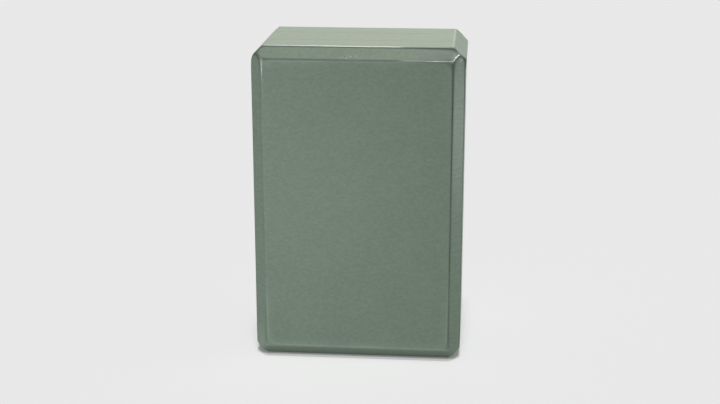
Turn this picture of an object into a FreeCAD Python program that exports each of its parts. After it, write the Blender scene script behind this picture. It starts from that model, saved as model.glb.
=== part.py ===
"""Bevelled foam yoga block, laminated from three bonded plies, standing on its end.

Frame: millimetres, +Z up, origin at the middle of the end face that the block stands on.
X runs across the broad faces. Y runs through the plies, and the front face looks towards -Y.
"""

import FreeCAD, Part
import os

# Driving sizes, in millimetres
block_width = 150.0      # across the broad faces, along X
block_height = 230.0     # from end to end, along Z
outer_ply_depth = 33.2   # front ply and rear ply, along Y
core_ply_depth = 33.0    # middle ply, along Y
glue_thickness = 0.3     # adhesive film in each joint between two plies
glue_setback = 0.5       # how far the film stays inside the block's outline
bevel = 8.3              # leg of the 45 degree bevel on each of the twelve edges
edge_radius = 1.6        # easing where a bevel meets a face or another bevel

# Places along Y, from the front of the stack to its rear
block_depth = 2 * outer_ply_depth + 2 * glue_thickness + core_ply_depth
front_y = -block_depth / 2
front_glue_y = front_y + outer_ply_depth
core_y = front_glue_y + glue_thickness
rear_glue_y = core_y + core_ply_depth
rear_y = rear_glue_y + glue_thickness


def sheet(start_y, depth):
    """A full rectangle of sheet stock, from start_y towards the rear."""
    corner = FreeCAD.Vector(-block_width / 2, start_y, 0)
    return Part.makeBox(block_width, depth, block_height, corner)


def bevelled_blank():
    """The whole stack after it is glued up, bevelled on every edge and eased."""
    stack = sheet(front_y, block_depth)
    bevelled = stack.makeChamfer(bevel, stack.Edges)
    return bevelled.makeFillet(edge_radius, bevelled.Edges)


def ply(blank, start_y, depth):
    """The slice of the blank that one foam sheet fills."""
    return blank.common(sheet(start_y, depth))


def glue_film(blank, start_y):
    """The adhesive in one joint: the blank's outline there, drawn in by the setback."""
    outline = blank.slice(FreeCAD.Vector(0, 1, 0), start_y)[0]
    film_face = Part.Face(outline).makeOffset2D(-glue_setback)
    return film_face.extrude(FreeCAD.Vector(0, glue_thickness, 0))


def main():
    """Write each piece of the block to its own file, and print its size."""
    blank = bevelled_blank()
    pieces = {
        "front_ply": ply(blank, front_y, outer_ply_depth),
        "front_glue_film": glue_film(blank, front_glue_y),
        "core_ply": ply(blank, core_y, core_ply_depth),
        "rear_glue_film": glue_film(blank, rear_glue_y),
        "rear_ply": ply(blank, rear_y, outer_ply_depth),
    }
    os.makedirs("parts", exist_ok=True)
    for name, shape in pieces.items():
        shape.Solids[0].exportStep(f"parts/{name}.step")
        box = shape.optimalBoundingBox()
        print(f"{name}: {len(shape.Solids)} solid, {shape.Volume:.0f} mm3,",
              f"{box.XLength:.2f} x {box.YLength:.2f} x {box.ZLength:.2f} mm")


main()
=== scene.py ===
"""Bevelled foam yoga block standing on a pale studio floor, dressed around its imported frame.

Each foam ply is a closed grid surface, settled onto a block whose edges are softened and creased.
Lengths are in metres and in the frame's axes: X across, Y from front to rear, Z up.
"""

import logging
import math
from dataclasses import dataclass
from enum import Enum
from functools import cache
from itertools import product

import bpy
import numpy as np
from mathutils import Matrix, Vector


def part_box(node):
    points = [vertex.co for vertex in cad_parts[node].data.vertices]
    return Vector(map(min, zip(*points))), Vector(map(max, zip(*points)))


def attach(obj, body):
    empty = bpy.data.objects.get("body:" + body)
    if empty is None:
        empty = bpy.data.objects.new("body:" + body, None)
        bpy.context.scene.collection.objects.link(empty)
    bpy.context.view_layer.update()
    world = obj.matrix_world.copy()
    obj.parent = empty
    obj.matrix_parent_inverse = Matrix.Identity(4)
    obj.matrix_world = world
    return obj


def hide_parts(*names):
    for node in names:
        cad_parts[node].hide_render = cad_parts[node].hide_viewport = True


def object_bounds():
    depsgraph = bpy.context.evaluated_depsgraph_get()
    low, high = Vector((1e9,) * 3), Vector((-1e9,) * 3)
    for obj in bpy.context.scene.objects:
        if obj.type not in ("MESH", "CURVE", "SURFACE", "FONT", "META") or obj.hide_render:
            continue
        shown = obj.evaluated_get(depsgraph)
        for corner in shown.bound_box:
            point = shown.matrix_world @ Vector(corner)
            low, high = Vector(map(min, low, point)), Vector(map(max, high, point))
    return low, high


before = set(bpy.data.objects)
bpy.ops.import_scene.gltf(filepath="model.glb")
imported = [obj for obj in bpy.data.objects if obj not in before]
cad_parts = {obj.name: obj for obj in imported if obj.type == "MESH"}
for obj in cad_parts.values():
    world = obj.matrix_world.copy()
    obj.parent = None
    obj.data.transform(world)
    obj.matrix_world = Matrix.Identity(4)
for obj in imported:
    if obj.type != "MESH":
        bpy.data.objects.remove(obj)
CAD_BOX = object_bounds()

MM = 0.001
BODY = "root"
WAVE_HEADINGS = np.array([[1.0, 0.62, 0.31], [-0.47, 1.13, 0.84], [0.71, -0.58, 1.37]])
WAVE_PHASES = np.array([1.0, 2.3, 3.7])
FACING = 0.5  # a plane faces along an axis when its normal's share of that axis is larger
WELD_SHIFT = 0.31  # keeps round places away from the limits between weld cells
log = logging.getLogger("yoga_block")

Point = tuple[float, float, float]
Colour = tuple[float, float, float]
Reach = tuple[float, float]
SocketValue = float | tuple[float, ...] | bpy.types.NodeSocket
Inputs = dict[str | int, SocketValue]


class Side(Enum):
    """The six sides of the block, each with its outward axis and direction."""

    LEFT = (0, -1)
    RIGHT = (0, 1)
    FRONT = (1, -1)
    REAR = (1, 1)
    BOTTOM = (2, -1)
    TOP = (2, 1)

    @property
    def axis(self) -> int:
        """The axis that the side looks along."""
        return self.value[0]

    @property
    def sign(self) -> int:
        """Which way it looks along that axis."""
        return self.value[1]

    @property
    def grid_axes(self) -> tuple[int, int]:
        """The two axes that its grid runs along, in right-handed order with its own."""
        return (self.axis + 1) % 3, (self.axis + 2) % 3


RING = (Side.LEFT, Side.RIGHT, Side.BOTTOM, Side.TOP)


class LampKind(Enum):
    """The two kinds of studio lamp."""

    SUN = "SUN"
    SOFTBOX = "AREA"


class Lit(Enum):
    """What a lamp shines on."""

    BLOCK = "lit_block"
    FLOOR = "lit_floor"


class Mark(Enum):
    """Named masks that a ply's mesh carries for its finish."""

    # painted shade: darkens the creases, the nicks and the upper right corners
    CREASE = "crease"
    # the coat on pressed edges, and their paler colour, which is a painted highlight
    GLOSS = "gloss"
    # the proud rim, paler partly as wear and partly as a painted highlight
    RIM = "rim"
    CUT = "cut"
    SCUFF = "scuff"


def bell(distance: np.ndarray, width: float | np.ndarray) -> np.ndarray:
    """A bell curve: 1 at no distance, and e to the minus squared share of the width elsewhere."""
    return np.exp(-((distance / width) ** 2))


def ramp(values: np.ndarray, start: float, stop: float) -> np.ndarray:
    """A straight ramp from 0 at start to 1 at stop, level before and after, rising or falling."""
    return np.clip((values - start) / (stop - start), 0.0, 1.0)


def soft_waves(points: np.ndarray, wavelength: float, phase: float) -> np.ndarray:
    """A slow unevenness from -1 to 1: the mean of three sine waves that cross at odd angles.

    Args:
        points: where to work it out.
        wavelength: the length of the longest wave.
        phase: shifts the waves, so that two uses differ.

    Returns:
        One value for each point.
    """
    angles = points @ WAVE_HEADINGS.T * (2 * math.pi / wavelength)
    return np.sin(angles + phase * WAVE_PHASES).mean(axis=1)


def stepped_lines(start: float, spans: list[tuple[float, float]]) -> np.ndarray:
    """Grid lines along one axis, evenly spaced within each span.

    Args:
        start: where the first line is.
        spans: for each stretch, where it ends and how far apart its lines are, about.

    Returns:
        The places of the lines, in rising order.
    """
    runs = []
    for stop, step in spans:
        count = max(1, round((stop - start) / step))
        runs.append(np.linspace(start, stop, count, endpoint=False))
        start = stop
    return np.append(np.concatenate(runs), start)


def grid_quads(rows: int, columns: int, flip: bool) -> np.ndarray:
    """Corner numbers of the quads of a grid of points.

    Args:
        rows: how many points the grid has along its first direction.
        columns: how many it has along its second.
        flip: whether the quads look the other way.

    Returns:
        One row of four point numbers for each quad.
    """
    number = np.arange(rows * columns).reshape(rows, columns)
    corners = (number[:-1, :-1], number[1:, :-1], number[1:, 1:], number[:-1, 1:])
    quads = np.stack([corner.ravel() for corner in corners], axis=1)
    return quads[:, ::-1] if flip else quads


def add_object(name: str, data: bpy.types.ID) -> bpy.types.Object:
    """Makes an object at the origin and puts it into the scene.

    Args:
        name: its name.
        data: its mesh, light or camera.

    Returns:
        The object.
    """
    added = bpy.data.objects.new(name, data)
    bpy.context.scene.collection.objects.link(added)
    return added


def direction(azimuth: float, elevation: float) -> Vector:
    """The direction from the block to a place around it.

    Args:
        azimuth: degrees around the block: 0 is in front and 90 is at the right.
        elevation: degrees above the level.

    Returns:
        A direction of length 1.
    """
    turn, climb = math.radians(azimuth), math.radians(elevation)
    level = math.cos(climb)
    return Vector((math.sin(turn) * level, -math.cos(turn) * level, math.sin(climb)))


@dataclass(frozen=True)
class Nick:
    """One small round dent: its place across a scuff and up the bevel, and its share of the depth."""

    across: float
    rise: float
    share: float


@dataclass(frozen=True)
class Scuff:
    """A small rubbed patch with a few nicks, low on the bevel above the front face."""

    across: float = -3.7 * MM
    rise: float = 1.5 * MM
    width: float = 7.0 * MM
    height: float = 2.8 * MM
    fall: float = 2.0
    nick_depth: float = 0.35 * MM
    nick_size: float = 0.6 * MM
    # how dark the nicks are: painted shade in the dents
    nick_painted_shade: float = 0.9
    line_step: float = 0.35 * MM
    reach: float = 14.0 * MM
    nicks: tuple[Nick, ...] = (
        Nick(-13.0 * MM, 0.9 * MM, 0.5),
        Nick(-4.6 * MM, 2.9 * MM, 0.7),
        Nick(-2.2 * MM, 2.0 * MM, 1.0),
        Nick(0.4 * MM, 1.0 * MM, 0.9),
        Nick(1.6 * MM, 3.1 * MM, 0.8),
        Nick(3.4 * MM, 0.6 * MM, 0.6),
        Nick(5.6 * MM, 3.4 * MM, 0.5),
    )

    def place(self, edge: np.ndarray, across: float, rise: float) -> np.ndarray:
        """A place on the bevel: along its lower edge, then up its slope of 45 degrees."""
        return edge + np.array([across, rise / math.sqrt(2), rise / math.sqrt(2)])

    def dents(self, points: np.ndarray, edge: np.ndarray) -> np.ndarray:
        """How deep the nicks are: the sum of a bell curve of the distance to each.

        Args:
            points: points on the ply.
            edge: the middle of the bevel's lower edge, under the scuff.

        Returns:
            One share of the nicks' depth for each point.
        """
        places = [self.place(edge, nick.across, nick.rise) for nick in self.nicks]
        away = [np.linalg.norm(points - place, axis=1) for place in places]
        return sum(nick.share * bell(far, self.nick_size) for nick, far in zip(self.nicks, away))

    def mask(self, points: np.ndarray, edge: np.ndarray) -> np.ndarray:
        """How rubbed the points are: one wide bell curve around the nicks.

        Args:
            points: points on the ply.
            edge: the middle of the bevel's lower edge, under the scuff.

        Returns:
            One value for each point, from 0 to 1.
        """
        spread = np.array([self.width, self.height, self.height])
        away = (points - self.place(edge, 0.0, self.rise)) / spread
        return np.exp(-self.fall * (away ** 2).sum(axis=1))


@dataclass(frozen=True)
class SoftStretch:
    """A straight stretch of the surface with a soft mask around it, from one end to the other."""

    start: Point
    stop: Point
    width: float = 0.8 * MM
    strength: float = 1.0
    fade: float = 4.0 * MM

    def mask(self, points: np.ndarray) -> np.ndarray:
        """How near the points are: a bell curve of the distance from the line, fading past its ends.

        Args:
            points: points on the block.

        Returns:
            One value for each point, from 0 to the strength.
        """
        start, run = np.array(self.start), np.subtract(self.stop, self.start)
        length = np.linalg.norm(run)
        along = (points - start) @ run / length
        past = along - np.clip(along, 0.0, length)
        across = np.linalg.norm(points - start - np.outer(along, run / length), axis=1)
        return self.strength * bell(across, self.width) * bell(past, self.fade)


@dataclass(frozen=True)
class PinchedCrease:
    """The pinched crease along the block's edges: its sizes, and its level from 0 to 1.

    Each pair says where a ramp starts and where it is full, in bevels from the side that it names.
    """

    depth: float = 0.30 * MM
    width: float = 0.5 * MM
    corner_spread: float = 28.0 * MM
    level: float = 0.45
    lean_right: float = 0.40
    lean_up: float = 0.18
    foot_level: float = 0.5
    side_level: float = 0.55
    side_reach: float = 0.5
    unevenness: float = 0.15
    uneven_length: float = 76.0 * MM
    uneven_phase: float = 1.3
    gloss_relief: float = 0.6
    top_ramp: Reach = (3.2, 0.0)
    foot_ramp: Reach = (6.0, 1.0)
    foot_end: Reach = (1.1, 1.6)
    depth_end: Reach = (1.4, 1.0)
    groove_place: float = 0.62 * MM
    groove_across: Reach = (1.0, 1.5)
    groove_drop: Reach = (0.625, 0.375)
    groove_share: float = 0.15
    groove_end: Reach = (0.4, 0.7)
    top_tilt: float = math.cos(math.pi / 8)
    # a broad painted shade at the right ends of the upper bevels and just below them
    shade: float = 0.3
    shade_rise: float = 0.3
    shade_length: float = 5.0 * MM
    shade_width: float = 6.0 * MM
    shade_fade: float = 15.0 * MM
    shade_end: float = 1.0 * MM


@dataclass(frozen=True)
class ProudRim:
    """The low rim just inside the edges of the upright faces: its sizes, and its level from 0 to 1."""

    height: float = 0.10 * MM
    place: float = 1.0 * MM
    width: float = 0.7 * MM
    up_places: tuple[float, ...] = (0.0, 0.17, 0.27, 0.8, 0.95)
    up_levels: tuple[float, ...] = (1.0, 0.95, 0.2, 0.05, 0.7)
    level: float = 0.8
    lean_right: float = -0.2
    foot_ramp: Reach = (0.06, 0.04)
    upright_ramp: Reach = (0.75, 0.95)


@dataclass(frozen=True)
class BlockForm:
    """The outside of the whole block: six flat faces, twelve bevels, soft edges and pinched creases."""

    low: np.ndarray
    high: np.ndarray
    bevel: float = 8.3 * MM
    ease: float = 0.15 * MM
    foot_ease: float = 0.14 * MM
    foot_power: int = 4
    corner_ease: float = 0.4 * MM
    corner_reach: float = 4.5 * MM
    shoulder_ease: float = 0.55 * MM
    shoulder_reach: float = 3.5 * MM
    end_swell: float = 0.2 * MM
    lip_height: float = 0.65 * MM
    lip_reach: float = 4.0 * MM
    left_fill: float = 0.55 * MM
    facet_round: float = 1.4 * MM
    wave_height: float = 0.05 * MM
    wave_length: float = 95.0 * MM
    wave_phase: float = 0.4
    settle_steps: int = 4
    pinch: PinchedCrease = PinchedCrease()
    proud: ProudRim = ProudRim()

    @property
    def centre(self) -> np.ndarray:
        """The middle of the block."""
        return (self.low + self.high) / 2

    @property
    def half(self) -> np.ndarray:
        """Half the block's width, depth and height."""
        return (self.high - self.low) / 2

    @property
    def upper_corner(self) -> np.ndarray:
        """Where the three bevels at the front's upper right corner meet."""
        leg = self.bevel / 2
        return np.array([self.high[0] - leg, self.low[1] + leg, self.high[2] - leg])

    def planes(self) -> tuple[np.ndarray, np.ndarray]:
        """The flat faces and the bevels as planes.

        A direction with one non-zero sign is a face at the box, and one with two is a bevel, which
        lies nearer by the bevel's leg.

        Returns:
            The unit outward normals, and each plane's distance along its normal.
        """
        signs = np.array(list(product((-1, 0, 1), repeat=3)), dtype=float)
        signs = signs[np.isin(np.abs(signs).sum(axis=1), (1, 2))]
        lengths = np.linalg.norm(signs, axis=1)
        reach = (np.where(signs > 0, self.high, self.low) * signs).sum(axis=1)
        reach -= np.where(lengths > 1, self.bevel, 0.0)
        return signs / lengths[:, None], reach / lengths

    def folded(self, points: np.ndarray) -> np.ndarray:
        """The points with their rear half mirrored onto the front, so that both can share a form.

        Args:
            points: points on the block.

        Returns:
            A mirrored copy.
        """
        turned = points.copy()
        turned[:, 1] = self.centre[1] - np.abs(points[:, 1] - self.centre[1])
        return turned

    def height_share(self, points: np.ndarray) -> np.ndarray:
        """How high the points are, from 0 at the bottom to 1 at the top."""
        return (points[:, 2] - self.low[2]) / (self.high[2] - self.low[2])

    def lean(self, points: np.ndarray, across: float, up: float) -> np.ndarray:
        """A slope over the block: across from left to right, plus up from bottom to top, each -1 to 1."""
        return (points - self.centre) / self.half @ np.array([across, 0.0, up])

    def bevel_fall(self, axis: int, places: np.ndarray) -> np.ndarray:
        """How far a bevel has cut back a face at places along an axis: zero on the flat, then 1 to 1."""
        over = np.maximum(self.low[axis] + self.bevel - places, places - self.high[axis] + self.bevel)
        return np.maximum(over, 0.0)

    def side_grid(self, side: Side, lines: dict[int, np.ndarray]) -> np.ndarray:
        """Points of one side of the sharp block, out to the middle of its bevels.

        A grid over the side's two axes, lowered by the larger of its two bevel falls.

        Args:
            side: which side.
            lines: the grid lines along each axis.

        Returns:
            A grid of points.
        """
        first, second = side.grid_axes
        points = np.empty((len(lines[first]), len(lines[second]), 3))
        points[..., first] = lines[first][:, None]
        points[..., second] = lines[second][None, :]
        falls = [self.bevel_fall(axis, points[..., axis]) for axis in side.grid_axes]
        face = self.high[side.axis] if side.sign > 0 else self.low[side.axis]
        points[..., side.axis] = face - side.sign * np.maximum(*falls)
        return points

    def glued_grids(self, place: float, lines: dict[int, np.ndarray]) -> list[np.ndarray]:
        """Points of a flat glued face that fills the block's bevelled outline, as three grids.

        The middle grid has upright columns out to the middle of the bevels, each stretched to the
        outline. A strip at each side fills what is left, row by row, and narrows to a point at both ends.

        Args:
            place: where the face is along Y.
            lines: the grid lines along each axis.

        Returns:
            The grids of points, with rows going up and columns going right, the middle one first.
        """
        rise, run = np.meshgrid(lines[2] - self.centre[2], lines[0], indexing="ij")
        stretch = (self.half[2] - self.bevel_fall(0, run)) / (self.half[2] - self.bevel / 2)
        middle = np.stack([run, np.full_like(run, place), self.centre[2] + rise * stretch], axis=-1)
        outer = self.half[0] - self.bevel_fall(2, lines[2])
        inner = np.full_like(outer, self.half[0] - self.bevel / 2)
        strip = np.stack([inner, outer], axis=1)
        level = np.full_like(strip, place)
        height = np.stack([lines[2], lines[2]], axis=1)
        right = np.stack([self.centre[0] + strip, level, height], axis=-1)
        left = np.stack([self.centre[0] - strip[:, ::-1], level, height], axis=-1)
        return [middle, left, right]

    def end_bevel_places(self, points: np.ndarray) -> np.ndarray:
        """Where points lie across the bevels at the top's short ends: -1 at the top, 1 at the side."""
        inward = self.half[0] - np.abs(points[:, 0] - self.centre[0])
        return (self.high[2] - points[:, 2] - inward) / self.bevel

    def swelling(self, points: np.ndarray, normals: np.ndarray) -> np.ndarray:
        """How far the foam stands past each plane.

        The bevels at the top's short ends swell by a parabola across them. The right shoulder, where
        such a bevel meets the side, has a proud lip: a bell curve of the distance from its edge. The
        upright bevels at the left are cut shallower in proportion to the height.

        Args:
            points: points on the block.
            normals: the planes' outward normals.

        Returns:
            A height for each point and plane.
        """
        across, depth, up = normals.T
        end_bevel = (up > FACING) & (np.abs(across) > FACING)
        crown = self.end_swell * np.maximum(1.0 - self.end_bevel_places(points) ** 2, 0.0)
        right_end = np.where((across > FACING) & (depth == 0.0) & (up > -FACING), across, 0.0)
        away = np.hypot(self.high[0] - points[:, 0], self.high[2] - self.bevel - points[:, 2])
        lip = self.lip_height * bell(away, self.lip_reach)
        left_bevel = (across < -FACING) & (np.abs(depth) > FACING)
        fill = self.left_fill * self.height_share(points)
        return np.outer(crown, end_bevel) + np.outer(lip, right_end) + np.outer(fill, left_bevel)

    def softness(self, points: np.ndarray) -> np.ndarray:
        """How soft the edges are: more at the foot, the upper right corners and the left shoulder.

        The shoulder is the edge between the side and the bevel over it. The last two are bell curves
        of the distance, and the foot's share is a power of what is left of the height.

        Args:
            points: points on the block.

        Returns:
            One length for each point, in a column.
        """
        corner = self.upper_corner - self.bevel / 4 * np.array([1, 0, 1])
        from_corner = np.linalg.norm(self.folded(points) - corner, axis=1)
        from_shoulder = np.hypot(points[:, 0] - self.low[0], self.high[2] - self.bevel - points[:, 2])
        ease = self.ease + self.foot_ease * (1.0 - self.height_share(points)) ** self.foot_power
        ease += self.corner_ease * bell(from_corner, self.corner_reach)
        ease += self.shoulder_ease * bell(from_shoulder, self.shoulder_reach)
        return ease[:, None]

    def edge_margin(self, points: np.ndarray) -> np.ndarray:
        """How far each point is inside its own facet, measured to the nearest other plane.

        The soft minimum over the other planes rounds the facet's corners.

        Args:
            points: points on the block.

        Returns:
            One margin for each point, zero on an edge and past it.
        """
        normals, reach = self.planes()
        distance = points @ normals.T - reach - self.swelling(points, normals)
        largest = distance.max(axis=1, keepdims=True)
        nearness = np.exp((distance - largest) / self.facet_round).sum(axis=1) - 1.0
        margin = -self.facet_round * np.log(np.maximum(nearness, np.finfo(float).tiny))
        return np.maximum(margin, 0.0)

    def settled(self, points: np.ndarray) -> tuple[np.ndarray, np.ndarray]:
        """Moves sharp points onto the softened block.

        The softened block is where the soft maximum of the distances to all planes is zero. Each step
        moves a point along the slope of that level by what is left of it.

        Args:
            points: points on the sharp block.

        Returns:
            The moved points and their outward directions.
        """
        normals, reach = self.planes()
        ease = self.softness(points)
        for _ in range(self.settle_steps):
            distance = points @ normals.T - reach - self.swelling(points, normals)
            largest = distance.max(axis=1, keepdims=True)
            shares = np.exp((distance - largest) / ease)
            total = shares.sum(axis=1, keepdims=True)
            level = largest + ease * np.log(total)
            slope = (shares / total) @ normals
            points = points - level * slope / (slope ** 2).sum(axis=1, keepdims=True)
        return points, slope / np.linalg.norm(slope, axis=1, keepdims=True)

    def waves(self, points: np.ndarray) -> np.ndarray:
        """How far the faces fall in slow waves, from zero to the waves' height."""
        return self.wave_height * (1.0 + soft_waves(points, self.wave_length, self.wave_phase)) / 2

    def crease(self, points: np.ndarray, outward: np.ndarray, margin: np.ndarray) -> np.ndarray:
        """The pinched crease along the edges, from 0 to 1, which the finish also darkens as painted shade.

        A bell curve of the margin to the facet's edge. It is deepest at the right and near the top,
        widest at the upper right corners, uneven along its way, and gone at the bottom and along the
        short edges of the ends. Over the front and the rear it is a groove just below the upper edge.

        Args:
            points: points on the block.
            outward: their outward directions.
            margin: how far each is inside its facet.

        Returns:
            One value for each point.
        """
        pinch = self.pinch
        across, depth, _ = np.minimum(points - self.low, self.high - points).T / self.bevel
        rise = (points[:, 2] - self.low[2]) / self.bevel
        drop = (self.high[2] - points[:, 2]) / self.bevel
        level = pinch.level + self.lean(points, pinch.lean_right, pinch.lean_up)
        level = np.maximum(level, ramp(drop, *pinch.top_ramp))
        level = np.maximum(level, pinch.foot_level * ramp(rise, *pinch.foot_ramp))
        level = np.maximum(level, pinch.side_level * (across < pinch.side_reach))
        level += pinch.unevenness * soft_waves(points, pinch.uneven_length, pinch.uneven_phase)
        level = np.clip(level, 0.0, 1.0) * ramp(rise, *pinch.foot_end) * ramp(depth, *pinch.depth_end)
        shift = pinch.groove_place * ramp(across, *pinch.groove_across) * ramp(drop, *pinch.groove_drop)
        signed = np.where(outward[:, 2] > pinch.top_tilt, -margin, margin)
        corner = np.hypot(self.high[0] - points[:, 0], self.high[2] - points[:, 2])
        width = pinch.width * (1.0 + bell(corner, pinch.corner_spread))
        return level * bell(signed - shift, width)

    def crease_share(self, points: np.ndarray) -> np.ndarray:
        """The share of the crease's depth: a little for the shallow groove at the top, then all of it."""
        drop = (self.high[2] - points[:, 2]) / self.bevel
        return np.interp(drop, self.pinch.groove_end, (self.pinch.groove_share, 1.0))

    def rim(self, points: np.ndarray, outward: np.ndarray, margin: np.ndarray) -> np.ndarray:
        """The proud rim just inside the edges of the upright faces, from 0 to 1. The finish paints it
        paler, partly as wear and partly as a painted highlight.

        A bell curve of the margin, a little inside the edge. It is strongest along the bottom, fades up
        the block and to the right, and returns at the top left.

        Args:
            points: points on the block.
            outward: their outward directions.
            margin: how far each is inside its facet.

        Returns:
            One value for each point.
        """
        proud = self.proud
        rise = self.height_share(points)
        sideways = proud.level + self.lean(points, proud.lean_right, 0.0)
        level = np.interp(rise, proud.up_places, proud.up_levels)
        level *= np.maximum(sideways, ramp(rise, *proud.foot_ramp))
        level *= ramp(np.abs(outward[:, :2]).max(axis=1), *proud.upright_ramp)
        return level * bell(margin - proud.place, proud.width)

    def pressed_edges(self) -> list[SoftStretch]:
        """The pressed stretches at the front: along its top, at its upper corners and at its foot. They
        carry the coat's gloss and a paler colour, which is a painted highlight.

        Returns:
            One stretch after the other.
        """
        left, near, foot = self.low + self.bevel
        right, far, lip = self.high - self.bevel
        front, top = self.low[1], self.high[2]
        half, span, inset = self.bevel / 2, right - left, 0.9 * MM
        top_end, low_end = left + 0.7 * span, left + 0.3 * span
        lip_start, lip_bright = left + 0.76 * span, left + 0.92 * span
        low_line, foot_line = lip - 1.8 * inset, foot + inset
        top_right = right - half / 8
        left_rim, foot_rim = (left + 0.4 * inset, front), (left + inset, front)
        bevel_line, bevel_middle = (left - inset, front + inset), (left - half, front + half)
        corner = self.upper_corner - np.array([inset, 0.0, 0.0])
        arch = self.upper_corner + np.array([0.07, 0.07, -0.36]) * self.bevel
        arch_end = arch + np.array([0.07, 0.07, -0.1]) * self.bevel
        return [
            # The top's front edge, and its right edge
            SoftStretch((left, near, top), (top_end, near, top), 0.75 * MM),
            SoftStretch((top_right, near, top), (top_right, far, top), 0.7 * MM, strength=0.35),
            # The front's upper edge at the right, up its corner, and the right bevel's upper end
            SoftStretch((lip_start, front, lip), (right, front, lip), 0.9 * MM, strength=0.45),
            SoftStretch((lip_bright, front, lip), (right, front, lip), 0.9 * MM, fade=7.0 * MM),
            SoftStretch((right - inset, front, lip), tuple(corner), 1.6 * MM),
            SoftStretch(tuple(arch), tuple(arch_end), 1.5 * MM, fade=1.0 * MM),
            # The front's upper left corner: a spot, a line down each side of the edge, and one across
            SoftStretch((*left_rim, lip - inset), (*left_rim, lip - 1.2 * inset), 1.1 * MM, fade=1.4 * MM),
            SoftStretch((*left_rim, lip), (*left_rim, lip - self.bevel), 0.6 * MM, strength=0.3),
            SoftStretch((*bevel_line, lip), (*bevel_line, lip - half), 0.5 * MM, strength=0.8),
            SoftStretch((left, front, low_line), (low_end, front, low_line), 0.55 * MM, strength=0.7),
            # The foot: the left bevel's lower end, and the front's rim along the bottom and at the left
            SoftStretch((*bevel_middle, foot), (*bevel_middle, foot + self.bevel), half, strength=0.35),
            SoftStretch((left, front, foot_line), (right, front, foot_line), 0.8 * MM, strength=0.5),
            SoftStretch((*foot_rim, foot), (*foot_rim, foot + 3.0 * self.bevel), 0.7 * MM, strength=0.5),
        ]

    def painted_corner_shade(self, points: np.ndarray) -> np.ndarray:
        """A broad faint painted shade at the right ends of the upper bevels, and on the faces just below.

        The mask of one wide stretch, low on the bevel, that ends at the upright bevel.

        Args:
            points: points on the block.

        Returns:
            One value for each point.
        """
        pinch = self.pinch
        right, rise = self.high[0] - self.bevel, pinch.shade_rise * self.bevel
        line = self.low[1] + rise, self.high[2] - self.bevel + rise
        ends = (right - pinch.shade_length, *line), (right, *line)
        stretch = SoftStretch(*ends, pinch.shade_width, pinch.shade, pinch.shade_fade)
        end = ramp(points[:, 0], right + pinch.shade_end, right - pinch.shade_end)
        return stretch.mask(self.folded(points)) * end

    def gloss(self, points: np.ndarray) -> np.ndarray:
        """The largest mask of the pressed stretches, alike at the front and the rear."""
        folded = self.folded(points)
        return np.max([edge.mask(folded) for edge in self.pressed_edges()], axis=0)


@dataclass(frozen=True)
class SharpMesh:
    """A ply with sharp edges.

    It holds the points, four point numbers for each quad, which quads lie on the block's outside, and
    for each glued face the point numbers of its upright columns.
    """

    points: np.ndarray
    quads: np.ndarray
    outside: np.ndarray
    glued_columns: list[np.ndarray]


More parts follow.
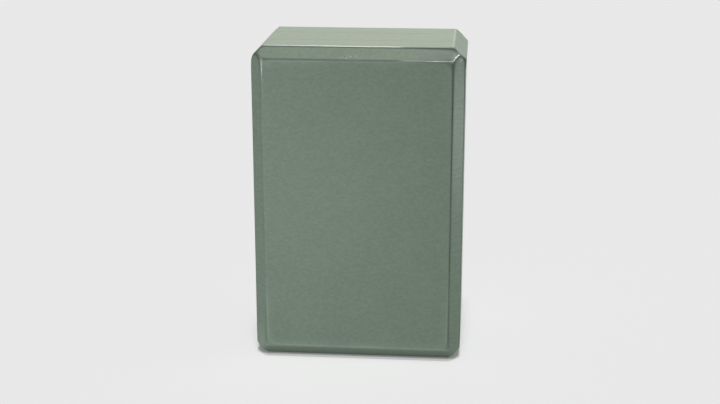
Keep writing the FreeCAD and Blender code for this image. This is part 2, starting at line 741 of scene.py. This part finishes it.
@dataclass(frozen=True)
class FoamPly:
    """One foam ply: its part of the block's outside, closed by its glued faces."""

    name: str
    node: str
    form: BlockForm
    finish: "FoamFinish"
    glued: tuple[Side, ...]
    scuff: Scuff | None = None
    fine_step: float = 0.16 * MM
    coarse_step: float = 4.6 * MM
    seam_step: float = 0.12 * MM
    edge_band: float = 2.4 * MM
    seam_band: float = 1.2 * MM
    weld: float = 0.001 * MM
    cut_fall: float = 1.4
    skin_tilt: float = 0.9

    def seam_places(self) -> list[tuple[Side, float]]:
        """The glued sides with their places along Y, from the CAD node's box."""
        low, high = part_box(self.node)
        return [(side, high.y if side.sign > 0 else low.y) for side in self.glued]

    def axis_lines(self, axis: int) -> np.ndarray:
        """Grid lines along an axis, close together over the bevels, the creases, the scuff and the seams.

        Args:
            axis: 0, 1 or 2.

        Returns:
            The places of the lines.
        """
        low, high = self.form.low[axis], self.form.high[axis]
        start, stop = low + self.form.bevel / 2, high - self.form.bevel / 2
        start_band = stop_band = self.form.bevel / 2 + self.edge_band
        start_step = stop_step = self.fine_step
        if axis == 1:
            for side, place in self.seam_places():
                if side.sign > 0:
                    stop, stop_band, stop_step = place, self.seam_band, self.seam_step
                else:
                    start, start_band, start_step = place, self.seam_band, self.seam_step
        spans = [(start + start_band, start_step)]
        if axis == 0 and self.scuff:
            middle = (low + high) / 2 + self.scuff.across
            spans.append((middle - self.scuff.reach, self.coarse_step))
            spans.append((middle + self.scuff.reach, self.scuff.line_step))
        spans.append((stop - stop_band, self.coarse_step))
        spans.append((stop, stop_step))
        return stepped_lines(start, spans)

    def sharp_mesh(self) -> SharpMesh:
        """The ply with sharp edges: grids for its sides and glued faces, welded where they meet.

        Points in the same small cell are one point.

        Returns:
            The welded mesh.
        """
        lines = {axis: self.axis_lines(axis) for axis in range(3)}
        open_ends = [side for side in (Side.FRONT, Side.REAR) if side not in self.glued]
        sides = [(side, [self.form.side_grid(side, lines)]) for side in (*RING, *open_ends)]
        joints = [(side, self.form.glued_grids(place, lines)) for side, place in self.seam_places()]
        points, quads, outside, columns, count = [], [], [], [], 0
        for side, grids in sides + joints:
            for order, grid in enumerate(grids):
                rows, width = grid.shape[:2]
                points.append(grid.reshape(-1, 3))
                quads.append(grid_quads(rows, width, flip=side.sign < 0) + count)
                outside.append(np.full(len(quads[-1]), side not in self.glued))
                if side in self.glued and order == 0:
                    columns.append(np.arange(count, count + rows * width).reshape(rows, width))
                count += rows * width
        points = np.concatenate(points)
        cells = np.round(points / self.weld + WELD_SHIFT)
        _, first, number = np.unique(cells, axis=0, return_index=True, return_inverse=True)
        number = number.ravel()
        quads, outside = number[np.concatenate(quads)], np.concatenate(outside)
        return SharpMesh(points[first], quads, outside, [number[column] for column in columns])

    def scuff_masks(self, points: np.ndarray) -> tuple[np.ndarray, np.ndarray]:
        """The scuff's nicks and its rubbed patch, or nothing on a ply without one.

        Args:
            points: points on the ply.

        Returns:
            The nicks' share of their depth and the patch's mask, one of each for each point.
        """
        if not self.scuff:
            return np.zeros(len(points)), np.zeros(len(points))
        form = self.form
        middle = form.centre[0] + self.scuff.across
        edge = np.array([middle, form.low[1], form.high[2] - form.bevel])
        return self.scuff.dents(points, edge), self.scuff.mask(points, edge)

    def shaped(self, sharp: SharpMesh) -> tuple[np.ndarray, dict[Mark, np.ndarray]]:
        """The finished ply: softened, then dented by its creases, slow waves and nicks, and rimmed.

        Every dent and rim is a height along the outward direction, and they add up. The glued faces
        stay flat: each of their columns is carried by its two ends.

        Args:
            sharp: the ply with sharp edges.

        Returns:
            The points, and the masks for the finish.
        """
        form = self.form
        points, outward = form.settled(sharp.points)
        margin = form.edge_margin(points)
        gloss = form.gloss(points)
        rim = form.rim(points, outward, margin)
        crease = form.crease(points, outward, margin) * (1.0 - form.pinch.gloss_relief * gloss)
        nicks, rubbed = self.scuff_masks(points)
        dent = form.pinch.depth * crease * form.crease_share(points) + form.waves(points)
        dent -= form.proud.height * rim
        # painted shade: a broad darkening at the upper right corners joins the crease, except under the
        # gloss
        crease = np.minimum(crease + form.painted_corner_shade(points) * (1.0 - gloss), 1.0)
        if self.scuff:
            dent += self.scuff.nick_depth * nicks
            # the nicks are darkened as painted shade
            crease = np.maximum(crease, self.scuff.nick_painted_shade * nicks)
        upright = np.clip(1.0 - self.cut_fall * np.abs(outward[:, 2]), 0.0, 1.0)
        skin = np.abs(outward[:, 1]) > self.skin_tilt
        points = points - outward * dent[:, None]
        marks = {
            Mark.CREASE: crease,
            Mark.GLOSS: gloss,
            Mark.RIM: rim,
            Mark.CUT: np.where(skin, 0.0, upright),
            Mark.SCUFF: rubbed,
        }
        for column in sharp.glued_columns:
            moved = points[column[[0, -1]]] - sharp.points[column[[0, -1]]]
            share = np.linspace(0.0, 1.0, len(column))[:, None, None]
            points[column] = sharp.points[column] + moved[0] + share * (moved[1] - moved[0])
            for values in marks.values():
                values[column[1:-1]] = 0.0
        return points, marks

    def build(self) -> bpy.types.Object:
        """Makes the ply's object from its arrays, with its marks as point attributes.

        A quad that the weld has narrowed to three points becomes a triangle.

        Returns:
            The object, riding on the block's body in place of its CAD node.
        """
        sharp = self.sharp_mesh()
        points, marks = self.shaped(sharp)
        distinct = sharp.quads != np.roll(sharp.quads, 1, axis=1)
        sizes = distinct.sum(axis=1)
        mesh = bpy.data.meshes.new(self.name)
        mesh.vertices.add(len(points))
        mesh.vertices.foreach_set("co", points.astype(np.float32).ravel())
        mesh.loops.add(int(sizes.sum()))
        mesh.loops.foreach_set("vertex_index", sharp.quads[distinct].astype(np.int32))
        mesh.polygons.add(len(sizes))
        mesh.polygons.foreach_set("loop_start", (np.cumsum(sizes) - sizes).astype(np.int32))
        mesh.polygons.foreach_set("use_smooth", sharp.outside)
        mesh.update(calc_edges=True)
        for mark, values in marks.items():
            attribute = mesh.attributes.new(mark.value, "FLOAT", "POINT")
            attribute.data.foreach_set("value", values.astype(np.float32))
        piece = add_object(self.name, mesh)
        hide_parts(self.node)
        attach(piece, BODY)
        return piece

    def dress(self, piece: bpy.types.Object) -> None:
        """Args:
            piece: the ply's object.
        """
        piece.data.materials.append(self.finish.material())


@dataclass(frozen=True)
class GlueFilm:
    """The adhesive film in one joint, which keeps its CAD shape."""

    node: str
    finish: "GlueFinish"

    def dress(self) -> bpy.types.Object:
        """Gives the film its finish.

        Returns:
            The CAD node's object.
        """
        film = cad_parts[self.node]
        film.data.materials.clear()
        film.data.materials.append(self.finish.material())
        return film


class NodeSheet:
    """Adds nodes to a node tree, and sets or links their sockets."""

    def __init__(self, tree: bpy.types.NodeTree) -> None:
        """Starts on a tree that is cleared first."""
        self.tree = tree
        self.tree.nodes.clear()

    def add(self, kind: str, inputs: Inputs | None = None, **settings: object) -> bpy.types.Node:
        """Adds one node.

        Args:
            kind: the node's type.
            inputs: for each socket, by name or number, a value to set or an output to link.
            settings: the node's own options.

        Returns:
            The node.
        """
        node = self.tree.nodes.new(kind)
        for name, value in settings.items():
            setattr(node, name, value)
        for name, value in (inputs or {}).items():
            if isinstance(value, bpy.types.NodeSocket):
                self.tree.links.new(value, node.inputs[name])
            else:
                node.inputs[name].default_value = value
        return node

    def maths(self, operation: str, *values: SocketValue) -> bpy.types.NodeSocket:
        """The result of a Math node on the given values or sockets."""
        return self.add("ShaderNodeMath", dict(enumerate(values)), operation=operation).outputs[0]

    def swing(self, value: SocketValue, gain: float, base: SocketValue) -> bpy.types.NodeSocket:
        """A pattern's swing about one half, times a gain, added to a base."""
        return self.maths("MULTIPLY_ADD", self.maths("SUBTRACT", value, 0.5), gain, base)

    def blend(self, factor: SocketValue, first: SocketValue, second: SocketValue) -> bpy.types.NodeSocket:
        """A colour between two colours."""
        return self.add("ShaderNodeMix", {0: factor, 6: first, 7: second}, data_type="RGBA").outputs[2]

    def stretch(self, vector: bpy.types.NodeSocket, shares: Point) -> bpy.types.NodeSocket:
        """A vector times a share for each axis."""
        return self.add("ShaderNodeVectorMath", {0: vector, 1: shares}, operation="MULTIPLY").outputs[0]

    def mark(self, mark: Mark) -> bpy.types.NodeSocket:
        """The value of a mark that the mesh carries."""
        return self.add("ShaderNodeAttribute", attribute_name=mark.value).outputs["Fac"]

    def group(self, tree: bpy.types.NodeTree, inputs: Inputs) -> bpy.types.Node:
        """Places a node group."""
        return self.add("ShaderNodeGroup", inputs, node_tree=tree)

    def shown_ray(self) -> bpy.types.NodeSocket:
        """Tells the rays that show a surface as it looks: to the camera, in gloss, through a clear piece.

        Returns:
            A socket that is one for those rays and zero for all others.
        """
        path = self.add("ShaderNodeLightPath")
        shown = self.maths("MAXIMUM", path.outputs["Is Camera Ray"], path.outputs["Is Glossy Ray"])
        return self.maths("MAXIMUM", shown, path.outputs["Is Transmission Ray"])


def opaque(colour: Colour) -> tuple[float, ...]:
    """A colour with full cover, as colour sockets take it."""
    return (*colour, 1.0)


def grey(level: float) -> tuple[float, ...]:
    """A neutral grey with full cover."""
    return (level, level, level, 1.0)


def new_material(name: str) -> tuple[bpy.types.Material, NodeSheet]:
    """Starts a material.

    Args:
        name: the material's name.

    Returns:
        The material, and the empty sheet of its nodes.
    """
    material = bpy.data.materials.new(name)
    material.use_nodes = True
    return material, NodeSheet(material.node_tree)


def new_pattern(
    name: str, size_name: str, size: float, outputs: tuple[str, ...]
) -> tuple[NodeSheet, bpy.types.NodeSocket, bpy.types.NodeSocket]:
    """Starts a shader node group for a pattern, with Vector and a size as its inputs.

    Args:
        name: the group's name.
        size_name: the name of its size input.
        size: the size when nothing else is set.
        outputs: the names of its value outputs.

    Returns:
        The sheet to add nodes to, the vector, and the scale, which is 1 over the size.
    """
    tree = bpy.data.node_groups.new(name, "ShaderNodeTree")
    sheet = NodeSheet(tree)
    tree.interface.new_socket("Vector", in_out="INPUT", socket_type="NodeSocketVector")
    length = tree.interface.new_socket(size_name, in_out="INPUT", socket_type="NodeSocketFloat")
    length.default_value = size
    for label in outputs:
        tree.interface.new_socket(label, in_out="OUTPUT", socket_type="NodeSocketFloat")
    given = sheet.add("NodeGroupInput")
    return sheet, given.outputs["Vector"], sheet.maths("DIVIDE", 1.0, given.outputs[size_name])


@cache
def foam_grain_group() -> bpy.types.NodeTree:
    """Fine closed cells: a cell pattern broken up by noise, drawn out a little across the block.

    Returns:
        A group with Vector and Cell Size in, and Tone and Height out, both about 0.5.
    """
    drawn_out, half = (0.58, 0.58, 1.0), 0.5
    sheet, vector, scale = new_pattern("foam grain", "Cell Size", 1.0 * MM, ("Tone", "Height"))
    place = {"Vector": sheet.stretch(vector, drawn_out), "Scale": scale}
    cells = sheet.add("ShaderNodeTexVoronoi", place, feature="F1").outputs["Distance"]
    speckle = sheet.add("ShaderNodeTexNoise", {**place, "Detail": 2.0}).outputs[0]
    height = sheet.maths("MULTIPLY_ADD", cells, half, sheet.maths("MULTIPLY", speckle, half))
    sheet.add("NodeGroupOutput", {"Tone": speckle, "Height": height})
    return sheet.tree


@cache
def clouding_group() -> bpy.types.NodeTree:
    """Slow patches of tone, as foam has from handling and from its skin.

    Returns:
        A group with Vector and Patch Size in, and Tone out, about 0.5.
    """
    sheet, vector, scale = new_pattern("clouding", "Patch Size", 30.0 * MM, ("Tone",))
    settings = {"Vector": vector, "Scale": scale, "Detail": 4.0, "Roughness": 0.62}
    noise = sheet.add("ShaderNodeTexNoise", settings)
    sheet.add("NodeGroupOutput", {"Tone": noise.outputs[0]})
    return sheet.tree


@cache
def cut_streak_group() -> bpy.types.NodeTree:
    """Fine streaks across the trimmed sides and bevels, square to the block's length.

    Returns:
        A group with Vector and Spacing in, and Tone out, about 0.5.
    """
    drawn_out = (0.08, 0.08, 1.0)
    sheet, vector, scale = new_pattern("cut streaks", "Spacing", 2.0 * MM, ("Tone",))
    settings = {"Vector": sheet.stretch(vector, drawn_out), "Scale": scale, "Detail": 3.0}
    noise = sheet.add("ShaderNodeTexNoise", settings)
    sheet.add("NodeGroupOutput", {"Tone": noise.outputs[0]})
    return sheet.tree


@dataclass(frozen=True)
class FoamFinish:
    """Satin skin of closed-cell foam, sage grey-green, with fine grain, handling and pinched edges, and
    with painted shade in the creases and painted highlights along rims and pressed edges.

    The contrasts say how much each pattern changes the tone, the roughness or the relief.
    """

    name: str
    shade: Colour = (0.168, 0.237, 0.173)
    light: Colour = (0.203, 0.278, 0.208)
    # the dark colour of the painted shade in the creases, the nicks and the upper right corners
    crease: Colour = (0.030, 0.042, 0.031)
    # paler colour for rims, partly wear and partly a painted highlight, and for pressed edges as a painted
    # highlight
    rubbed: Colour = (0.280, 0.360, 0.286)
    scuffed: Colour = (0.36, 0.43, 0.365)
    cell_size: float = 1.5 * MM
    patch_size: float = 28.0 * MM
    streak_spacing: float = 1.8 * MM
    speck_size: float = 0.8 * MM
    middle_tone: float = 0.5
    grain_contrast: float = 2.6
    cloud_contrast: float = 0.8
    streak_contrast: float = 2.7
    rub_least: float = 0.3
    rub_patches: float = 0.9
    pressed_highlight_share: float = 0.9
    speck_level: float = 0.45
    speck_contrast: float = 6.0
    painted_shade_cover: float = 0.95
    roughness: float = 0.42
    cloud_roughness: float = 0.16
    crease_roughness: float = 0.4
    streak_relief: float = 2.5
    grain_strength: float = 0.5
    grain_depth: float = 0.05 * MM
    refraction: float = 1.47
    edge_gloss: float = 0.95
    edge_roughness: float = 0.15
    shift: float = 0.0

    def wear_and_painted_light(
        self, sheet: NodeSheet, plain: SocketValue, cloud: SocketValue, specks: SocketValue
    ) -> bpy.types.NodeSocket:
        """The colour with its wear and its painted light.

        Rims are paler, partly as wear and partly as a painted highlight, and pressed edges are paler as a
        painted highlight. The scuff is paler in specks. The creases, the nicks and the upper right corners
        are darker as painted shade.

        Args:
            sheet: the material's nodes.
            plain: the colour without wear.
            cloud: the clouding's tone, which makes the rims' paler colour uneven.
            specks: the scuff's fine tone.

        Returns:
            The worn colour.
        """
        # rims are paler, partly as uneven wear and partly as a painted highlight
        patches = sheet.maths("MULTIPLY_ADD", cloud, self.rub_patches, self.rub_least)
        rim_wear_and_highlight = sheet.maths("MULTIPLY", sheet.mark(Mark.RIM), patches)
        # pressed edges get the paler colour as a painted highlight
        pressed = sheet.maths("MULTIPLY", sheet.mark(Mark.GLOSS), self.pressed_highlight_share)
        colour = sheet.blend(sheet.maths("MAXIMUM", rim_wear_and_highlight, pressed), plain, opaque(self.rubbed))
        above = sheet.maths("SUBTRACT", specks, self.speck_level)
        speckled = sheet.maths("MULTIPLY", above, self.speck_contrast)
        scuff = sheet.add("ShaderNodeClamp", {0: sheet.maths("MULTIPLY", sheet.mark(Mark.SCUFF), speckled)})
        colour = sheet.blend(scuff.outputs[0], colour, opaque(self.scuffed))
        # painted shade: the creases, nicks and upper right corners blend towards the dark colour
        dark = sheet.maths("MULTIPLY", sheet.mark(Mark.CREASE), self.painted_shade_cover)
        return sheet.blend(dark, colour, opaque(self.crease))

    def material(self) -> bpy.types.Material:
        """Builds the finish once.

        Tone is grain plus clouding plus, on cut faces, streaks. It runs from shade to light, and wear and
        painted light come over it: painted shade in the creases and painted highlights on rims and pressed
        edges. The pressed edges have a little gloss over all this.

        Returns:
            The material.
        """
        if self.name in bpy.data.materials:
            return bpy.data.materials[self.name]
        material, sheet = new_material(self.name)
        place = {
            "Vector": sheet.add("ShaderNodeTexCoord").outputs["Object"],
            "Location": (self.shift, self.shift, 0.0),
        }
        moved = sheet.add("ShaderNodeMapping", place).outputs[0]
        grain = sheet.group(foam_grain_group(), {"Vector": moved, "Cell Size": self.cell_size})
        fine = sheet.group(foam_grain_group(), {"Vector": moved, "Cell Size": self.speck_size})
        patches = sheet.group(clouding_group(), {"Vector": moved, "Patch Size": self.patch_size})
        streaks = sheet.group(cut_streak_group(), {"Vector": moved, "Spacing": self.streak_spacing})
        cloud = patches.outputs["Tone"]
        streak = sheet.maths("SUBTRACT", streaks.outputs["Tone"], self.middle_tone)
        streak = sheet.maths("MULTIPLY", streak, sheet.mark(Mark.CUT))
        tone = sheet.swing(grain.outputs["Tone"], self.grain_contrast, self.middle_tone)
        tone = sheet.swing(cloud, self.cloud_contrast, tone)
        tone = sheet.maths("MULTIPLY_ADD", streak, self.streak_contrast, tone)
        plain = sheet.blend(tone, opaque(self.shade), opaque(self.light))
        rough = sheet.swing(cloud, self.cloud_roughness, self.roughness)
        rough = sheet.maths("MULTIPLY_ADD", sheet.mark(Mark.CREASE), self.crease_roughness, rough)
        height = sheet.maths("MULTIPLY_ADD", streak, self.streak_relief, grain.outputs["Height"])
        relief = {"Strength": self.grain_strength, "Distance": self.grain_depth, "Height": height}
        shader = sheet.add(
            "ShaderNodeBsdfPrincipled",
            {
                "Base Color": self.wear_and_painted_light(sheet, plain, cloud, fine.outputs["Tone"]),
                "Roughness": rough,
                "Normal": sheet.add("ShaderNodeBump", relief).outputs[0],
                "IOR": self.refraction,
                "Coat Weight": sheet.maths("MULTIPLY", sheet.mark(Mark.GLOSS), self.edge_gloss),
                "Coat Roughness": self.edge_roughness,
            },
        )
        sheet.add("ShaderNodeOutputMaterial", {"Surface": shader.outputs[0]})
        return material


@dataclass(frozen=True)
class GlueFinish:
    """Dull adhesive that has dried dark in the joint."""

    name: str
    shade: Colour = (0.10, 0.125, 0.095)
    light: Colour = (0.15, 0.18, 0.135)
    cell_size: float = 0.8 * MM
    patch_size: float = 9.0 * MM
    grain_share: float = 0.4
    cloud_share: float = 0.6
    least_roughness: float = 0.4
    cloud_roughness: float = 0.2

    def material(self) -> bpy.types.Material:
        """Builds the finish once: clouding and fine grain between two dark tones.

        Returns:
            The material.
        """
        if self.name in bpy.data.materials:
            return bpy.data.materials[self.name]
        material, sheet = new_material(self.name)
        place = sheet.add("ShaderNodeTexCoord").outputs["Object"]
        grain = sheet.group(foam_grain_group(), {"Vector": place, "Cell Size": self.cell_size})
        patches = sheet.group(clouding_group(), {"Vector": place, "Patch Size": self.patch_size})
        cloud = patches.outputs["Tone"]
        tone = sheet.maths("MULTIPLY", cloud, self.cloud_share)
        tone = sheet.maths("MULTIPLY_ADD", grain.outputs["Tone"], self.grain_share, tone)
        colour = sheet.blend(tone, opaque(self.shade), opaque(self.light))
        rough = sheet.maths("MULTIPLY_ADD", cloud, self.cloud_roughness, self.least_roughness)
        shader = sheet.add("ShaderNodeBsdfPrincipled", {"Base Color": colour, "Roughness": rough})
        sheet.add("ShaderNodeOutputMaterial", {"Surface": shader.outputs[0]})
        return material


@dataclass(frozen=True)
class Lamp:
    """One studio lamp, aimed at the middle of the block, with its angles and spread in degrees."""

    name: str
    kind: LampKind
    azimuth: float
    elevation: float
    energy: float
    colour: Colour = (1.0, 1.0, 1.0)
    spread: float = 40.0
    distance: float = 1.5
    size: float = 1.0
    gloss_only: bool = False
    lit: Lit = Lit.BLOCK

    def build(self, target: Vector) -> bpy.types.Object:
        """Makes the lamp on a ball around the target.

        Args:
            target: the point that it shines at.

        Returns:
            The lamp's object.
        """
        light = bpy.data.lights.new(self.name, self.kind.value)
        light.energy = self.energy
        light.color = self.colour
        if self.kind is LampKind.SUN:
            light.angle = math.radians(self.spread)
        else:
            light.shape = "DISK"
            light.size = self.size
        back = direction(self.azimuth, self.elevation)
        lamp = add_object(self.name, light)
        lamp.location = target + back * self.distance
        lamp.rotation_euler = back.to_track_quat("Z", "Y").to_euler()
        lamp.visible_camera = False
        lamp.visible_diffuse = not self.gloss_only
        lamp.light_linking.receiver_collection = bpy.data.collections[self.lit.value]
        return lamp


@dataclass(frozen=True)
class PhotoCamera:
    """A camera at the photograph's viewing angle."""

    azimuth: float = 4.96
    elevation: float = 16.23
    distance: float = 1.0116
    lens: float = 67.85
    sensor: float = 36.0
    past_right: float = 1.95 * MM
    past_up: float = 9.05 * MM

    def build(self, centre: Vector) -> bpy.types.Object:
        """Makes the scene's camera.

        Args:
            centre: the middle of the block, which appears past_right and past_up of the picture's middle.

        Returns:
            The camera's object.
        """
        back = direction(self.azimuth, self.elevation)
        right = direction(self.azimuth + 90.0, 0.0)
        up = back.cross(right)
        aim = centre - right * self.past_right - up * self.past_up
        lens = bpy.data.cameras.new("photo_camera")
        lens.sensor_fit = "HORIZONTAL"
        lens.sensor_width = self.sensor
        lens.lens = self.lens
        camera = add_object("photo_camera", lens)
        turned = Matrix((right, up, back)).transposed().to_4x4()
        camera.matrix_world = Matrix.Translation(aim + back * self.distance) @ turned
        bpy.context.scene.camera = camera
        return camera


@dataclass(frozen=True)
class Studio:
    """The pale floor, the backdrop and the soft light."""

    floor_half: float = 12.0
    floor_gap: float = 0.05 * MM
    backdrop: float = 0.806
    floor_pale: float = 0.697
    floor_bounce: float = 0.25
    floor_glow: float = 0.15
    fill: float = 0.2
    lamps: tuple[Lamp, ...] = (
        Lamp("rear_high", LampKind.SUN, 180.0, 60.0, 1.33, (1.0, 1.0, 0.88), spread=40.0),
        Lamp("rear_low", LampKind.SUN, 180.0, 30.0, 0.12, (1.0, 1.0, 0.75), spread=40.0),
        Lamp("rear_sheet", LampKind.SOFTBOX, 180.0, 3.0, 0.38, (1.0, 1.0, 0.75), distance=1.4, size=0.8),
        Lamp("rear_face", LampKind.SOFTBOX, 180.0, -4.0, 1.2, distance=0.8, size=0.2),
        Lamp("front_high", LampKind.SUN, 0.0, 60.0, 0.71, spread=50.0),
        Lamp("right_high", LampKind.SUN, 85.0, 45.0, 0.37, spread=40.0),
        Lamp("left_far_box", LampKind.SOFTBOX, -24.0, -4.5, 3.0, distance=1.1, size=0.2),
        Lamp("front_box", LampKind.SOFTBOX, -8.0, -14.0, 0.078, distance=0.35, size=0.1),
        Lamp("left_box", LampKind.SOFTBOX, -40.0, -14.0, 0.060, distance=0.35, size=0.1),
        Lamp("left_side", LampKind.SOFTBOX, -95.0, 0.0, 0.15, distance=0.8, size=0.4),
        Lamp("right_box", LampKind.SOFTBOX, 83.0, 4.0, 0.113, distance=0.28, size=0.12),
        Lamp("rear_card", LampKind.SOFTBOX, 182.0, 66.0, 10.5, (1.0, 1.0, 0.95), size=0.5, gloss_only=True),
        Lamp("lip_card", LampKind.SOFTBOX, 6.5, 43.6, 1.25, distance=0.61, size=0.12, gloss_only=True),
        Lamp("corner_card", LampKind.SOFTBOX, 46.0, 50.0, 9.0, distance=1.2, size=0.22, gloss_only=True),
        Lamp("floor_low", LampKind.SUN, 5.0, 56.0, 1.4, spread=6.0, lit=Lit.FLOOR),
        Lamp("floor_high", LampKind.SUN, 5.0, 80.0, 1.2, spread=6.0, lit=Lit.FLOOR),
    )

    def floor(self) -> bpy.types.Object:
        """A wide flat floor just under the block.

        It takes the block's shadow. For the camera and in gloss it is evenly pale, and what it throws
        back at the block is weaker.

        Returns:
            The floor's object.
        """
        half, drop = self.floor_half, -self.floor_gap
        corners = [(-half, -half, drop), (half, -half, drop), (half, half, drop), (-half, half, drop)]
        mesh = bpy.data.meshes.new("studio_floor")
        mesh.from_pydata(corners, [], [(0, 1, 2, 3)])
        material, sheet = new_material("studio_floor")
        shown = sheet.shown_ray()
        colour = sheet.blend(shown, grey(self.floor_bounce), grey(self.floor_pale))
        shade = sheet.add("ShaderNodeBsdfDiffuse", {"Color": colour})
        strength = sheet.maths("MULTIPLY", shown, self.floor_glow)
        glow = sheet.add("ShaderNodeEmission", {"Strength": strength})
        both = sheet.add("ShaderNodeAddShader", {0: shade.outputs[0], 1: glow.outputs[0]})
        sheet.add("ShaderNodeOutputMaterial", {"Surface": both.outputs[0]})
        mesh.materials.append(material)
        floor = add_object("studio_floor", mesh)
        return floor

    def backdrop_world(self) -> None:
        """A world that is pale to the camera and to gloss, and a weaker even fill to everything else."""
        world = bpy.data.worlds.new("studio")
        world.use_nodes = True
        sheet = NodeSheet(world.node_tree)
        fill = sheet.add("ShaderNodeBackground", {"Color": grey(self.fill), "Strength": 1.0})
        pale = sheet.add("ShaderNodeBackground", {"Color": grey(self.backdrop), "Strength": 1.0})
        choice = {0: sheet.shown_ray(), 1: fill.outputs[0], 2: pale.outputs[0]}
        both = sheet.add("ShaderNodeMixShader", choice)
        sheet.add("ShaderNodeOutputWorld", {"Surface": both.outputs[0]})
        bpy.context.scene.world = world

    def build(self, centre: Vector, pieces: list[bpy.types.Object]) -> None:
        """Makes the floor, the world and the lamps, and sets how colours are shown.

        Args:
            centre: the point that the lamps shine at.
            pieces: the block's pieces, which the lamps light apart from the floor.
        """
        for lit, members in {Lit.BLOCK: pieces, Lit.FLOOR: [self.floor()]}.items():
            collection = bpy.data.collections.new(lit.value)
            for member in members:
                collection.objects.link(member)
        self.backdrop_world()
        for lamp in self.lamps:
            lamp.build(centre)
        bpy.context.scene.view_settings.view_transform = "Standard"


def block_plies(form: BlockForm) -> list[FoamPly]:
    """The three plies, from front to rear.

    Args:
        form: the outside that they share.

    Returns:
        The plies, not yet built.
    """
    outer = FoamFinish("outer_foam")
    core = FoamFinish("core_foam", shift=0.37)
    return [
        FoamPly("front_foam", "front_ply", form, outer, (Side.REAR,), Scuff()),
        FoamPly("core_foam", "core_ply", form, core, (Side.FRONT, Side.REAR)),
        FoamPly("rear_foam", "rear_ply", form, outer, (Side.FRONT,)),
    ]


def main() -> None:
    """Builds and dresses each piece, logs it, then sets the stage."""
    logging.basicConfig(level=logging.INFO, format="%(message)s")
    low, high = CAD_BOX
    form = BlockForm(np.array(low), np.array(high))
    pieces = []
    for ply in block_plies(form):
        piece = ply.build()
        ply.dress(piece)
        pieces.append(piece)
        log.info("%s: %d points, %d faces", piece.name, len(piece.data.vertices), len(piece.data.polygons))
    glue = GlueFinish("dried_glue")
    for node in ("front_glue_film", "rear_glue_film"):
        film = GlueFilm(node, glue).dress()
        pieces.append(film)
        log.info("%s: CAD shape with its own finish", film.name)
    centre = (low + high) / 2
    Studio().build(centre, pieces)
    PhotoCamera().build(centre)


if __name__ == "__main__":
    main()
